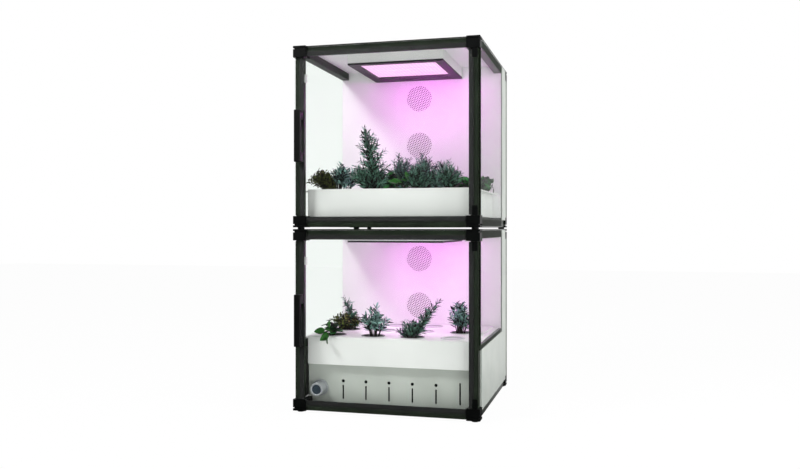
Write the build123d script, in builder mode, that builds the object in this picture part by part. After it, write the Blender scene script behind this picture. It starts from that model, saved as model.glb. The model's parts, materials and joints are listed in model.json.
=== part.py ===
"""Two-tier indoor garden cabinet: tube frame, glass doors, grow lamps, planting trays, water and dosing base.

Millimetres, +Z up, front towards -Y, origin at the middle of the footprint on the floor.
"""
import os
from math import cos, radians, sin

from build123d import *

os.makedirs("parts", exist_ok=True)

# Cabinet envelope
width = 600
depth = 620
module_height = 577
foot_height = 5.5
foot_radius = 11

# Frame
tube = 25
tube_wall = 2
side_skin = 6
cover_skin = 4
rail_rise = 1
block_width = 42
block_height = 36
groove_inset = 6.5
groove_height = 4
groove_depth = 1.2
groove_side_depth = 4.5
socket_depth = 6
socket_fit = 0.1
rear_chamber = 145
wall_thickness = 3
floor_thickness = 3
tray_floor_thickness = 8
notch_gap = 0.5

# Doors
door_front_gap = 2
glass_thickness = 5
seal_thickness = 3.7
seal_gap = 0.3
seal_width = 14
seal_lip = 4
door_edge_gap = 8
block_gap = 2
rail_overlap = 18
pivot_inset = 5
pin_diameter = 5
pin_fit = 0.05
pin_reach = 8
shoe_thickness = 1.6
shoe_width = 16
shoe_height = 28
shoe_tab = 1

# Handles
handle_proud = 28
handle_length = 164
handle_width = 22
handle_foot = 29
grip_depth = 12
grip_edge = 4
handle_inset = 16

# Lamps
lamp_width = 320
lamp_height = 40
lamp_wall = 2
lamp_setback = 130
lamp_rear_gap = 7
bezel_thickness = 6
emitter_width = 260
emitter_border = 24
emitter_rear_border = 74
emitter_lap = 6
emitter_thickness = 4

# Fans and the perforated air vents in front of them
fan_drop = 108
fan_spacing = 170
fan_frame_size = 96
fan_depth = 25
fan_bore = 90
fan_tip_gap = 2
fan_hub = 36
fan_blades = 7
blade_thickness = 1.8
blade_pitch = 35
blade_chord = 20
fan_shaft = 4
fan_strut = 6
fan_strut_thickness = 4
fan_plate_gap = 1
vent_pitch = 12.4
vent_hole = 8
vent_rings = 3

# Trays, decks and planting sites
tray_side_gap = 3
tray_height = 84
tray_wall = 3
tray_front = 43
tray_rear_gap = 4
tray_edge = 3
lower_tray_lift = 144
flange_width = 20
flange_thickness = 3.5
deck_thickness = 4
site_columns = 4
site_rows = 3
site_margin_x = 69.5
site_margin_y = 65
site_bore = 72
cup_rim = 77
cup_rim_thickness = 1.6
cup_fit = 0.5
cup_base = 50
cup_depth = 58
cup_wall = 2
dish_depth = 2.4
plug_gap = 1

# Base compartment
panel_setback = 63
panel_thickness = 3
panel_gap = 0.5
station_count = 7
station_margin = 41
station_dot_z = 90.5
station_dot = 10.2
light_proud = 0.6
slot_width = 5
slot_bottom = 32
slot_height = 46
long_slot_height = 69
window_fit = 0.1
bottle_width = 62
bottle_depth = 86
bottle_height = 84
bottle_edge = 8
bottle_neck = 26
bottle_cap_height = 14
service_gap = 1
tank_height = 112
tank_edge = 6
dosing_diameter = 30
dosing_length = 24
dosing_z = 88
valve_z = 66.5
valve_flange = 52
valve_flange_thickness = 5
valve_stem = 16
valve_body_size = 40
valve_body_depth = 44
knob_diameter = 41
knob_length = 38
knob_face = 31
knob_recess = 3
knob_fit = 0.05
knob_gap = 0.3
stem_reach = 24
pump_diameter = 54
pump_height = 60

# Rear chamber
pipe_diameter = 16
pipe_bore = 12
pipe_inset = 64
pipe_setback = 45
pipe_bend = 24
pipe_hole_gap = 1
pipe_low = 60
pipe_high = 70
supply_width = 60
supply_depth = 40
supply_height = 190
supply_inset = 180
controller_width = 150
controller_depth = 34
controller_height = 110
controller_x = -70
controller_z = 60
inlet_width = 48
inlet_height = 28
inlet_depth = 22
inlet_recess = 14
inlet_wall = 3
inlet_inset = 100
inlet_z = 70
louvre_width = 150
louvre_height = 6
louvre_pitch = 16
louvre_count = 8
louvre_rise = 33

# Derived planes and heights
half_width = width / 2
front_y = (handle_proud - depth) / 2
rear_y = front_y + depth
module_pitch = module_height + foot_height
tube_bore = tube - 2 * tube_wall
door_recess = door_front_gap + glass_thickness + seal_thickness + seal_gap
post_x = half_width - side_skin - tube / 2
post_in_x = post_x - tube / 2
front_post_y = front_y + door_recess + tube / 2
rear_post_y = rear_y - cover_skin - tube / 2
chamber_depth = depth - rear_chamber
wall_y = front_y + chamber_depth
mid_post_y = wall_y + wall_thickness + tube / 2
block_x = half_width - block_width
block_front_y = front_y + block_width
block_rear_y = rear_y - block_width
rail_top = rail_rise + tube
rail_line = cover_skin + tube
floor_top = rail_top + tray_floor_thickness
base_floor_top = rail_rise + floor_thickness
high_rail = module_height - cover_skin - tube
skin_top = module_height - cover_skin
lamp_depth = chamber_depth - lamp_setback - lamp_rear_gap
emitter_depth = lamp_depth - emitter_border - emitter_rear_border
fan_heights = (module_height - fan_drop - fan_spacing, module_height - fan_drop)
louvre_z = fan_heights[0] + louvre_rise
tray_y = front_y + tray_front
tray_width = 2 * (post_in_x - tray_side_gap)
tray_depth = chamber_depth - tray_front - tray_rear_gap
site_pitch_x = (tray_width - 2 * site_margin_x) / (site_columns - 1)
site_pitch_y = (tray_depth - 2 * site_margin_y) / (site_rows - 1)
tray_mid_y = tray_y + tray_depth / 2
deck_top = tray_height + deck_thickness
panel_y = front_y + panel_setback
station_pitch = 2 * (post_in_x - station_margin) / (station_count - 1)
pipe_x = pipe_inset - post_in_x
supply_x = half_width - supply_inset
inlet_x = half_width - inlet_inset
pivot_x = half_width - door_edge_gap - pivot_inset
pivot_y = front_y + door_front_gap + glass_thickness / 2
glass_back_y = front_y + door_front_gap + glass_thickness
fan_y = wall_y + wall_thickness

levels = {"lower": foot_height, "upper": foot_height + module_pitch}
floor_level = {"lower": base_floor_top, "upper": floor_top}
tray_lift = {"lower": lower_tray_lift, "upper": floor_top}
pipe_level = {"lower": pipe_low, "upper": tray_lift["upper"] + pipe_high}
pipe_y = wall_y + wall_thickness + pipe_setback


def save(piece, name):
    """Label a finished piece and write it as its own file."""
    piece.part.label = name
    export_step(piece.part, f"parts/{name}.step")


def slab(x, y, z, mode=Mode.ADD):
    """Rectangular block between two limits on each axis."""
    with Locations(((x[0] + x[1]) / 2, (y[0] + y[1]) / 2, (z[0] + z[1]) / 2)):
        Box(x[1] - x[0], y[1] - y[0], z[1] - z[0], mode=mode)


def square_tube(start, direction, length):
    """Hollow square tube of the frame section from a start point along a direction."""
    with BuildSketch(Plane(origin=start, z_dir=direction)) as section:
        Rectangle(tube, tube)
        Rectangle(tube_bore, tube_bore, mode=Mode.SUBTRACT)
    extrude(section.sketch, amount=length)


def notched_outline(length, height, notch_length, notch_height):
    """Rectangle about its middle with a rectangular notch at each corner."""
    Rectangle(length, height)
    with GridLocations(length - notch_length, height - notch_height, 2, 2):
        Rectangle(notch_length, notch_height, mode=Mode.SUBTRACT)


def site_points():
    """Middles of the planting sites, row by row from the front left."""
    for row in range(site_rows):
        for column in range(site_columns):
            x = (column - (site_columns - 1) / 2) * site_pitch_x
            y = tray_mid_y + (row - (site_rows - 1) / 2) * site_pitch_y
            yield row, column, x, y


# Feet: round pads under every corner block of both modules
with BuildPart() as feet:
    for base in levels.values():
        for x in (-post_x, post_x):
            for y in (front_post_y, rear_post_y):
                with BuildSketch(Plane.XY.offset(base - foot_height)):
                    with Locations((x, y)):
                        Circle(foot_radius)
                extrude(amount=foot_height)
save(feet, "feet")

# Frame tubes and corner blocks, module by module
for level, base in levels.items():
    with BuildPart() as posts:
        post_start = base + block_height - socket_depth
        post_length = module_height - 2 * post_start + 2 * base
        for x in (-post_x, post_x):
            for y in (front_post_y, rear_post_y):
                square_tube((x, y, post_start), (0, 0, 1), post_length)
            square_tube((x, mid_post_y, base + rail_top), (0, 0, 1), high_rail - rail_top)
    save(posts, f"{level}_posts")

    with BuildPart() as width_rails:
        rail_start = -block_x - socket_depth
        for z in (base + rail_rise + tube / 2, base + high_rail + tube / 2):
            for y in (front_post_y, rear_post_y):
                square_tube((rail_start, y, z), (1, 0, 0), -2 * rail_start)
            square_tube((-post_in_x, mid_post_y, z), (1, 0, 0), 2 * post_in_x)
    save(width_rails, f"{level}_width_rails")

    with BuildPart() as depth_rails:
        rail_start = block_front_y - socket_depth
        rail_length = block_rear_y + socket_depth - rail_start
        for x in (-post_x, post_x):
            for z in (base + rail_rise + tube / 2, base + high_rail + tube / 2):
                square_tube((x, rail_start, z), (0, 1, 0), rail_length)
            if level == "lower":
                bearer_top = base + lower_tray_lift + tray_height - flange_thickness
                bearer_start = front_post_y + tube / 2
                square_tube((x, bearer_start, bearer_top - tube / 2), (0, 1, 0), wall_y - bearer_start)
    save(depth_rails, f"{level}_depth_rails")

    # Each block takes a post and two rails in shallow sockets on its three inner faces
    with BuildPart() as corner_blocks:
        socket = tube + 2 * socket_fit
        for side in (-1, 1):
            for end_y, post_y, inward in ((front_y, front_post_y, 1), (rear_y, rear_post_y, -1)):
                for low, rail_z, post_z in (
                    (base, base + rail_rise + tube / 2, base + block_height),
                    (base + module_height - block_height, base + high_rail + tube / 2,
                     base + module_height - block_height),
                ):
                    x_limits = sorted((side * block_x, side * half_width))
                    y_limits = sorted((end_y, end_y + inward * block_width))
                    slab(x_limits, y_limits, (low, low + block_height))
                    with Locations((side * post_x, post_y, post_z)):
                        Box(socket, socket, 2 * socket_depth, mode=Mode.SUBTRACT)
                    with Locations((side * block_x, post_y, rail_z)):
                        Box(2 * socket_depth, socket, socket, mode=Mode.SUBTRACT)
                    with Locations((side * post_x, end_y + inward * block_width, rail_z)):
                        Box(socket, 2 * socket_depth, socket, mode=Mode.SUBTRACT)
                    # A groove runs round the two outer faces near the end of the block, deeper at the side
                    groove_low = base + groove_inset
                    if low > base:
                        groove_low = base + module_height - groove_inset - groove_height
                    groove_z = (groove_low, groove_low + groove_height)
                    slab(x_limits, sorted((end_y, end_y + inward * groove_depth)), groove_z, mode=Mode.SUBTRACT)
                    slab(sorted((side * (half_width - groove_side_depth), side * half_width)), y_limits, groove_z,
                         mode=Mode.SUBTRACT)
        # The door pivots turn in bores in the right-hand front blocks
        for z in (base + block_height, base + module_height - block_height):
            with Locations((pivot_x, pivot_y, z)):
                Cylinder(pin_diameter / 2 + pin_fit, 2 * (pin_reach + block_gap), mode=Mode.SUBTRACT)
    save(corner_blocks, f"{level}_corner_blocks")

# Outer skins: glass sides, opaque side panels, top panels and rear covers
for level, base in levels.items():
    split_y = mid_post_y
    glass_low = base + cover_skin
    if level == "lower":
        glass_low = base + lower_tray_lift + tray_height - flange_thickness - tube / 2
    skin_front = front_y + door_recess

    with BuildPart() as side_glass:
        for side in (-1, 1):
            x_limits = sorted((side * (half_width - side_skin), side * half_width))
            slab(x_limits, (skin_front, split_y), (glass_low, base + skin_top))
            for z in (base, base + module_height - block_height):
                slab(x_limits, (front_y, block_front_y + notch_gap),
                     (z - notch_gap, z + block_height + notch_gap), mode=Mode.SUBTRACT)
    save(side_glass, f"{level}_side_glass")

    with BuildPart() as side_panels:
        for side in (-1, 1):
            x_limits = sorted((side * (half_width - side_skin), side * half_width))
            slab(x_limits, (split_y, rear_y - cover_skin), (base + rail_top, base + skin_top))
            for z in (base, base + module_height - block_height):
                slab(x_limits, (block_rear_y - notch_gap, rear_y),
                     (z - notch_gap, z + block_height + notch_gap), mode=Mode.SUBTRACT)
            if level == "lower":
                slab(x_limits, (front_post_y + tube / 2, split_y), (base + rail_top, glass_low))
                slab(x_limits, (front_y, block_front_y + notch_gap),
                     (base - notch_gap, base + block_height + notch_gap), mode=Mode.SUBTRACT)
    save(side_panels, f"{level}_side_panels")

with BuildPart() as top_panels:
    panel_front = front_y + door_recess
    for level, base in levels.items():
        with BuildSketch(Plane.XY.offset(base + skin_top)):
            with Locations((0, (panel_front + rear_y) / 2)):
                Rectangle(width, rear_y - panel_front)
            with Locations((0, (front_y + rear_y) / 2)):
                with GridLocations(width - block_width, depth - block_width, 2, 2):
                    Rectangle(block_width + 2 * notch_gap, block_width + 2 * notch_gap, mode=Mode.SUBTRACT)
            if level == "lower":
                with Locations((pipe_x, pipe_y)):
                    Circle(pipe_diameter / 2 + pipe_hole_gap, mode=Mode.SUBTRACT)
        extrude(amount=cover_skin)
save(top_panels, "top_panels")

with BuildPart() as rear_covers:
    for level, base in levels.items():
        with BuildSketch(Plane(origin=(0, rear_y, base + skin_top / 2), x_dir=(1, 0, 0), z_dir=(0, -1, 0))):
            Rectangle(width, skin_top)
            with Locations((0, cover_skin / 2)):
                with GridLocations(width - block_width, module_height - block_height, 2, 2):
                    Rectangle(block_width + 2 * notch_gap, block_height + 2 * notch_gap, mode=Mode.SUBTRACT)
            with Locations((0, louvre_z - skin_top / 2)):
                with GridLocations(0, louvre_pitch, 1, louvre_count):
                    SlotOverall(louvre_width, louvre_height, mode=Mode.SUBTRACT)
            if level == "lower":
                with Locations((inlet_x, inlet_z - skin_top / 2)):
                    Rectangle(inlet_width, inlet_height, mode=Mode.SUBTRACT)
        extrude(amount=cover_skin)
save(rear_covers, "rear_covers")

# Floors: the lower one closes the base between its rails, the upper one lies on its rails under the tray
with BuildPart() as floors:
    bays = (
        (front_post_y + tube / 2, mid_post_y - tube / 2),
        (mid_post_y + tube / 2, rear_post_y - tube / 2),
    )
    with BuildSketch(Plane.XY.offset(levels["lower"] + rail_rise)):
        for bay_front, bay_rear in bays:
            with Locations((0, (bay_front + bay_rear) / 2)):
                Rectangle(2 * post_in_x, bay_rear - bay_front)
        with Locations((0, (front_y + rear_y) / 2)):
            with GridLocations(width - block_width, depth - block_width, 2, 2):
                Rectangle(block_width + 2 * notch_gap, block_width + 2 * notch_gap, mode=Mode.SUBTRACT)
    extrude(amount=floor_thickness)
    upper_floor_x = block_x - block_gap
    slab((-upper_floor_x, upper_floor_x), (front_post_y, mid_post_y + tube / 2),
         (levels["upper"] + rail_top, levels["upper"] + floor_top))
save(floors, "floors")

# Back walls stand on the floors against the middle posts, with perforated air vents
for level, base in levels.items():
    with BuildPart() as back_wall:
        wall_low = max(rail_top, floor_level[level])
        with BuildSketch(Plane(origin=(0, wall_y, base), x_dir=(1, 0, 0), z_dir=(0, -1, 0))):
            with Locations((0, (wall_low + high_rail) / 2)):
                Rectangle(2 * (half_width - side_skin), high_rail - wall_low)
            with Locations((0, (floor_level[level] + skin_top) / 2)):
                Rectangle(2 * post_in_x, skin_top - floor_level[level])
            for fan_z in fan_heights:
                with Locations((0, fan_z)):
                    Circle(vent_hole / 2, mode=Mode.SUBTRACT)
                    for ring in range(1, vent_rings + 1):
                        with PolarLocations(ring * vent_pitch, 6 * ring):
                            Circle(vent_hole / 2, mode=Mode.SUBTRACT)
            with Locations((pipe_x, pipe_level[level])):
                Circle(pipe_diameter / 2 + pipe_hole_gap, mode=Mode.SUBTRACT)
        extrude(amount=-wall_thickness)
    save(back_wall, f"{level}_back_wall")

# Lamps hang under the top panels: white housing, dark bezel and the lit emitter plate
for level, base in levels.items():
    lamp_top = base + skin_top
    lamp_low = lamp_top - lamp_height
    lamp_y = front_y + lamp_setback + lamp_depth / 2
    emitter_y = front_y + lamp_setback + emitter_border + emitter_depth / 2

    with BuildPart() as lamp_housing:
        with BuildSketch(Plane.XY.offset(lamp_low + bezel_thickness)):
            with Locations((0, lamp_y)):
                Rectangle(lamp_width, lamp_depth)
        extrude(amount=lamp_height - bezel_thickness)
        with BuildSketch(Plane.XY.offset(lamp_low + bezel_thickness)):
            with Locations((0, lamp_y)):
                Rectangle(lamp_width - 2 * lamp_wall, lamp_depth - 2 * lamp_wall)
        extrude(amount=lamp_height - bezel_thickness - lamp_wall, mode=Mode.SUBTRACT)
    save(lamp_housing, f"{level}_lamp_housing")

    with BuildPart() as lamp_bezel:
        with BuildSketch(Plane.XY.offset(lamp_low)):
            with Locations((0, lamp_y)):
                Rectangle(lamp_width, lamp_depth)
            with Locations((0, emitter_y)):
                Rectangle(emitter_width, emitter_depth, mode=Mode.SUBTRACT)
        extrude(amount=bezel_thickness)
    save(lamp_bezel, f"{level}_lamp_bezel")

    with BuildPart() as led_panel:
        with BuildSketch(Plane.XY.offset(lamp_low + bezel_thickness)):
            with Locations((0, emitter_y)):
                Rectangle(emitter_width + 2 * emitter_lap, emitter_depth + 2 * emitter_lap)
        extrude(amount=emitter_thickness)
    save(led_panel, f"{level}_led_panel")

# Fan frames screw to the back of the walls, each with a three-armed motor mount at the rear
with BuildPart() as fan_frames:
    for base in levels.values():
        for fan_z in fan_heights:
            frame_plane = Plane(origin=(0, fan_y, base + fan_z), x_dir=(1, 0, 0), z_dir=(0, 1, 0))
            with BuildSketch(frame_plane):
                Rectangle(fan_frame_size, fan_frame_size)
                Circle(fan_bore / 2, mode=Mode.SUBTRACT)
            extrude(amount=fan_depth)
            with BuildSketch(frame_plane.offset(fan_depth - fan_strut_thickness)):
                Circle(fan_hub / 2)
                with PolarLocations(fan_bore / 4, 3):
                    Rectangle(fan_bore / 2 + fan_strut / 2, fan_strut)
                Circle(fan_shaft / 2 + pin_fit, mode=Mode.SUBTRACT)
            extrude(amount=fan_strut_thickness)
save(fan_frames, "fan_frames")

# Fan impellers: a hub cup on a shaft with pitched blades
for level, base in levels.items():
    for place, fan_z in zip(("low", "high"), fan_heights):
        with BuildPart() as impeller:
            hub_length = fan_depth - fan_strut_thickness - 2 * fan_plate_gap
            hub_plane = Plane(origin=(0, fan_y + fan_plate_gap, base + fan_z), x_dir=(1, 0, 0), z_dir=(0, 1, 0))
            with BuildSketch(hub_plane):
                Circle(fan_hub / 2)
            extrude(amount=hub_length)
            with BuildSketch(hub_plane):
                Circle(fan_shaft / 2)
            extrude(amount=fan_depth - fan_plate_gap)
            blade_tip = fan_bore / 2 - fan_tip_gap
            blade_root = fan_hub / 2 - blade_thickness
            for index in range(fan_blades):
                angle = 360 * index / fan_blades
                blade_span = (cos(radians(angle)), 0, sin(radians(angle)))
                middle_y = fan_y + fan_plate_gap + hub_length / 2
                blade_origin = (blade_root * blade_span[0], middle_y, base + fan_z + blade_root * blade_span[2])
                blade_plane = Plane(origin=blade_origin, x_dir=(0, 1, 0), z_dir=blade_span)
                with BuildSketch(blade_plane):
                    with Locations(Rotation(0, 0, blade_pitch)):
                        Rectangle(blade_chord, blade_thickness)
                extrude(amount=blade_tip - blade_root)
        save(impeller, f"{level}_fan_{place}")

# Trays: open basins with a side flange that hangs on the bearers, decks with planting sites on top
for level, base in levels.items():
    tray_base = base + tray_lift[level]

    with BuildPart() as tray:
        with BuildSketch(Plane.XY.offset(tray_base)):
            with Locations((0, tray_mid_y)):
                Rectangle(tray_width, tray_depth)
        extrude(amount=tray_height)
        fillet(tray.edges().filter_by(Axis.Z), radius=tray_edge)
        with BuildSketch(Plane.XY.offset(tray_base + tray_wall)):
            with Locations((0, tray_mid_y)):
                Rectangle(tray_width - 2 * tray_wall, tray_depth - 2 * tray_wall)
        extrude(amount=tray_height - tray_wall, mode=Mode.SUBTRACT)
        flange_z = tray_base + tray_height
        flange_y = (front_post_y + tube, wall_y - tube / 2)
        for side in (-1, 1):
            flange_x = sorted((side * (tray_width / 2 - tray_wall), side * (tray_width / 2 + flange_width)))
            slab(flange_x, flange_y, (flange_z - flange_thickness, flange_z))
    save(tray, f"{level}_tray")

    with BuildPart() as deck:
        with BuildSketch(Plane.XY.offset(tray_base + tray_height)):
            with Locations((0, tray_mid_y)):
                RectangleRounded(tray_width, tray_depth, tray_edge)
                with GridLocations(site_pitch_x, site_pitch_y, site_columns, site_rows):
                    Circle(site_bore / 2, mode=Mode.SUBTRACT)
        extrude(amount=deck_thickness)
    save(deck, f"{level}_deck")

# Planting sites: row and column of each plant with its height, its spread and how far the leaves start up
plants = {
    "lower": {
        (0, 0): (56, 52, 6),
        (0, 1): (104, 40, 18),
        (0, 2): (122, 56, 10),
        (1, 0): (108, 44, 14),
        (1, 3): (104, 42, 18),
    },
    "upper": {
        (0, 0): (78, 60, 6),
        (0, 1): (196, 58, 10),
        (0, 2): (64, 58, 6),
        (0, 3): (112, 56, 8),
        (1, 0): (96, 60, 8),
        (1, 1): (92, 58, 8),
        (1, 2): (140, 58, 8),
        (1, 3): (104, 58, 8),
        (2, 0): (96, 58, 8),
        (2, 1): (150, 58, 8),
        (2, 2): (146, 58, 8),
        (2, 3): (76, 60, 6),
    },
}
stem_radius = 5
crown_share = 0.62
tip_radius = 9

for level, base in levels.items():
    deck_z = base + tray_lift[level] + deck_top
    cup_top = site_bore / 2 - cup_fit
    planted = [(x, y, plants[level][row, column])
               for row, column, x, y in site_points() if (row, column) in plants[level]]

    with BuildPart() as net_cups:
        for x, y, shape in planted:
            with BuildSketch(Plane(origin=(x, y, deck_z), x_dir=(1, 0, 0), z_dir=(0, -1, 0))):
                with BuildLine():
                    Polyline(
                        (cup_top - cup_wall, cup_rim_thickness),
                        (cup_rim / 2, cup_rim_thickness),
                        (cup_rim / 2, 0),
                        (cup_top, 0),
                        (cup_top, -deck_thickness),
                        (cup_base / 2, -cup_depth),
                        (0, -cup_depth),
                        (0, cup_wall - cup_depth),
                        (cup_base / 2 - cup_wall, cup_wall - cup_depth),
                        (cup_top - cup_wall, -deck_thickness),
                        close=True,
                    )
                make_face()
            revolve(axis=Axis((x, y, deck_z), (0, 0, 1)))
    save(net_cups, f"{level}_net_cups")

    # Each plant is a root plug filling its cup, a short stem and a crown of leaves
    with BuildPart() as plant_bodies:
        for x, y, (plant_height, spread, stem) in planted:
            crown_z = stem + crown_share * (plant_height - stem)
            plug_top = cup_top - cup_wall - plug_gap
            plug_low = cup_base / 2 - cup_wall - plug_gap
            with BuildSketch(Plane(origin=(x, y, deck_z), x_dir=(1, 0, 0), z_dir=(0, -1, 0))):
                with BuildLine():
                    Polyline(
                        (stem_radius, 0),
                        (plug_top, 0),
                        (plug_top, -deck_thickness),
                        (plug_low, cup_wall - cup_depth),
                        (0, cup_wall - cup_depth),
                        (0, plant_height),
                        (tip_radius, plant_height),
                        (spread, crown_z),
                        (spread, (crown_z + stem) / 2),
                        (stem_radius, stem),
                        close=True,
                    )
                make_face()
            revolve(axis=Axis((x, y, deck_z), (0, 0, 1)))
    save(plant_bodies, f"{level}_plants")

# Shallow caps close the empty sites of the lower deck
with BuildPart() as site_caps:
    cap_z = levels["lower"] + tray_lift["lower"] + deck_top
    cap_skirt = site_bore / 2 - cup_fit
    for row, column, x, y in site_points():
        if (row, column) not in plants["lower"]:
            with BuildSketch(Plane(origin=(x, y, cap_z), x_dir=(1, 0, 0), z_dir=(0, -1, 0))):
                with BuildLine():
                    Polyline(
                        (cap_skirt - cup_wall, cup_rim_thickness),
                        (cup_rim / 2, cup_rim_thickness),
                        (cup_rim / 2, 0),
                        (cap_skirt, 0),
                        (cap_skirt, -2 * dish_depth - deck_thickness),
                        (0, -2 * dish_depth - deck_thickness),
                        (0, -dish_depth),
                        (cap_skirt - cup_wall, -dish_depth),
                        close=True,
                    )
                make_face()
            revolve(axis=Axis((x, y, cap_z), (0, 0, 1)))
save(site_caps, "site_caps")

# Doors: corner-notched glass on two pivots at the right, a seal on the frame and a bow handle at the left
for level, base in levels.items():
    door_mid_z = base + module_height / 2
    door_span = 2 * (half_width - door_edge_gap)
    door_tall = module_height - 2 * (rail_line - rail_overlap)
    door_short = module_height - 2 * (block_height + block_gap)
    door_y = front_y + door_front_gap

    with BuildPart() as door_glass:
        with BuildSketch(Plane(origin=(0, door_y, door_mid_z), x_dir=(1, 0, 0), z_dir=(0, -1, 0))):
            notched_outline(
                door_span,
                door_tall,
                half_width - door_edge_gap - block_x + block_gap,
                (door_tall - door_short) / 2,
            )
        extrude(amount=-glass_thickness)
    save(door_glass, f"{level}_door_glass")

    with BuildPart() as door_seal:
        opening_x = 2 * (post_in_x - seal_lip)
        opening_z = module_height - 2 * (rail_line + seal_lip)
        seal_plane = Plane(
            origin=(0, front_y + door_recess, door_mid_z), x_dir=(1, 0, 0), z_dir=(0, -1, 0)
        )
        with BuildSketch(seal_plane):
            notched_outline(
                opening_x + 2 * seal_width,
                opening_z + 2 * seal_width,
                opening_x / 2 + seal_width - block_x + block_gap,
                opening_z / 2 + seal_width - module_height / 2 + block_height + block_gap,
            )
            Rectangle(opening_x, opening_z, mode=Mode.SUBTRACT)
        extrude(amount=seal_thickness)
    save(door_seal, f"{level}_door_seal")

    with BuildPart() as hinge_shoes:
        edge_x = half_width - door_edge_gap
        for end in (-1, 1):
            edge_z = door_mid_z + end * door_short / 2
            tab_z = edge_z + end * shoe_tab
            slab((edge_x - shoe_width, edge_x), (door_y - shoe_thickness, door_y),
                 sorted((tab_z, edge_z - end * shoe_height)))
            slab((edge_x - shoe_width, edge_x), (door_y, glass_back_y), sorted((edge_z, tab_z)))
            with BuildSketch(Plane.XY.offset(tab_z)):
                with Locations((pivot_x, pivot_y)):
                    Circle(pin_diameter / 2)
            extrude(amount=end * (pin_reach + block_gap - shoe_tab))
    save(hinge_shoes, f"{level}_hinge_shoes")

    with BuildPart() as door_handle:
        handle_x = -half_width + door_edge_gap + handle_inset
        handle_y = front_y - handle_proud
        with BuildSketch(Plane(origin=(handle_x, 0, door_mid_z), x_dir=(0, -1, 0), z_dir=(-1, 0, 0))):
            with Locations(((-door_y - handle_y) / 2, 0)):
                Rectangle(door_y - handle_y, handle_length)
            gap_depth = door_y - handle_y - grip_depth
            with Locations((-door_y + gap_depth / 2, 0)):
                Rectangle(gap_depth, handle_length - 2 * handle_foot, mode=Mode.SUBTRACT)
        extrude(amount=handle_width / 2, both=True)
        grip_edges = door_handle.edges().filter_by(Axis.Z).group_by(Axis.Y)[0]
        fillet(grip_edges, radius=min(grip_edge, grip_depth / 3))
    save(door_handle, f"{level}_door_handle")

# Magnetic catches behind the handle side of each door, on the front posts
with BuildPart() as door_catches:
    for base in levels.values():
        catch_z = base + module_height - block_height - shoe_height - tube
        slab((-post_in_x, -post_in_x + seal_width / 2), (front_post_y - tube / 4, front_post_y + tube / 4),
             (catch_z - tube, catch_z))
save(door_catches, "door_catches")

# Control panel of the base: one drain valve, five dosing stations and a long tank sight slot
base = levels["lower"]
compartment_low = base + base_floor_top
panel_high = base + lower_tray_lift - panel_gap
panel_back_y = panel_y + panel_thickness
station_x = [station_margin - post_in_x + station_pitch * index for index in range(station_count)]
valve_x = station_x[0]
dosing_x = station_x[1:-1]
tank_x = station_x[-1]
slots = [(x, slot_height) for x in dosing_x] + [(tank_x, long_slot_height)]
panel_plane = Plane(origin=(0, panel_y, base), x_dir=(1, 0, 0), z_dir=(0, -1, 0))

with BuildPart() as control_panel:
    with BuildSketch(panel_plane):
        with Locations((0, (compartment_low + panel_high) / 2 - base)):
            Rectangle(2 * post_in_x, panel_high - compartment_low)
        for x in dosing_x:
            with Locations((x, station_dot_z)):
                Circle(station_dot / 2, mode=Mode.SUBTRACT)
        for x, height in slots:
            with Locations((x, slot_bottom + height / 2)):
                SlotOverall(height, slot_width, rotation=90, mode=Mode.SUBTRACT)
        with Locations((valve_x, valve_z)):
            Circle(valve_stem / 2 + window_fit, mode=Mode.SUBTRACT)
    extrude(amount=-panel_thickness)
    slab((-half_width, -block_x + block_gap), (panel_y, panel_back_y), (base, base + block_height),
         mode=Mode.SUBTRACT)
    slab((block_x - block_gap, half_width), (panel_y, panel_back_y), (base, base + block_height),
         mode=Mode.SUBTRACT)
save(control_panel, "control_panel")

with BuildPart() as level_windows:
    with BuildSketch(panel_plane):
        for x, height in slots:
            with Locations((x, slot_bottom + height / 2)):
                SlotOverall(height - 2 * window_fit, slot_width - 2 * window_fit, rotation=90)
    extrude(amount=-panel_thickness)
save(level_windows, "level_windows")

with BuildPart() as status_lights:
    with BuildSketch(panel_plane.offset(light_proud)):
        for x in dosing_x:
            with Locations((x, station_dot_z)):
                Circle(station_dot / 2 - window_fit)
    extrude(amount=-panel_thickness - light_proud)
save(status_lights, "status_lights")

# Five nutrient bottles stand behind their sight slots
with BuildPart() as nutrient_bottles:
    bottle_y = panel_back_y + service_gap + bottle_depth / 2
    for x in dosing_x:
        with BuildSketch(Plane.XY.offset(compartment_low)):
            with Locations((x, bottle_y)):
                RectangleRounded(bottle_width, bottle_depth, bottle_edge)
        extrude(amount=bottle_height)
        with BuildSketch(Plane.XY.offset(compartment_low + bottle_height)):
            with Locations((x, bottle_y)):
                Circle(bottle_neck / 2)
        extrude(amount=bottle_cap_height)
save(nutrient_bottles, "nutrient_bottles")

# The water tank fills the rear of the base, with an arm that reaches forward to its sight slot
tank_front_y = panel_back_y + bottle_depth + dosing_length + 2 * service_gap
tank_rear_y = wall_y - service_gap
tank_half = block_x - block_gap
with BuildPart() as water_tank:
    with BuildSketch(Plane.XY.offset(compartment_low)):
        with Locations((0, (tank_front_y + tank_rear_y) / 2)):
            Rectangle(2 * tank_half, tank_rear_y - tank_front_y)
        arm_left = tank_x - station_pitch / 2 + 2 * service_gap
        arm_front = panel_back_y + service_gap
        with Locations(((arm_left + tank_half) / 2, (arm_front + tank_rear_y) / 2)):
            Rectangle(tank_half - arm_left, tank_rear_y - arm_front)
    extrude(amount=tank_height)
    fillet(water_tank.edges().filter_by(Axis.Z), radius=tank_edge)
save(water_tank, "water_tank")

with BuildPart() as dosing_pumps:
    with BuildSketch(Plane(origin=(0, tank_front_y, base), x_dir=(1, 0, 0), z_dir=(0, -1, 0))):
        for x in dosing_x:
            with Locations((x, dosing_z)):
                Circle(dosing_diameter / 2)
    extrude(amount=dosing_length)
save(dosing_pumps, "dosing_pumps")

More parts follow.
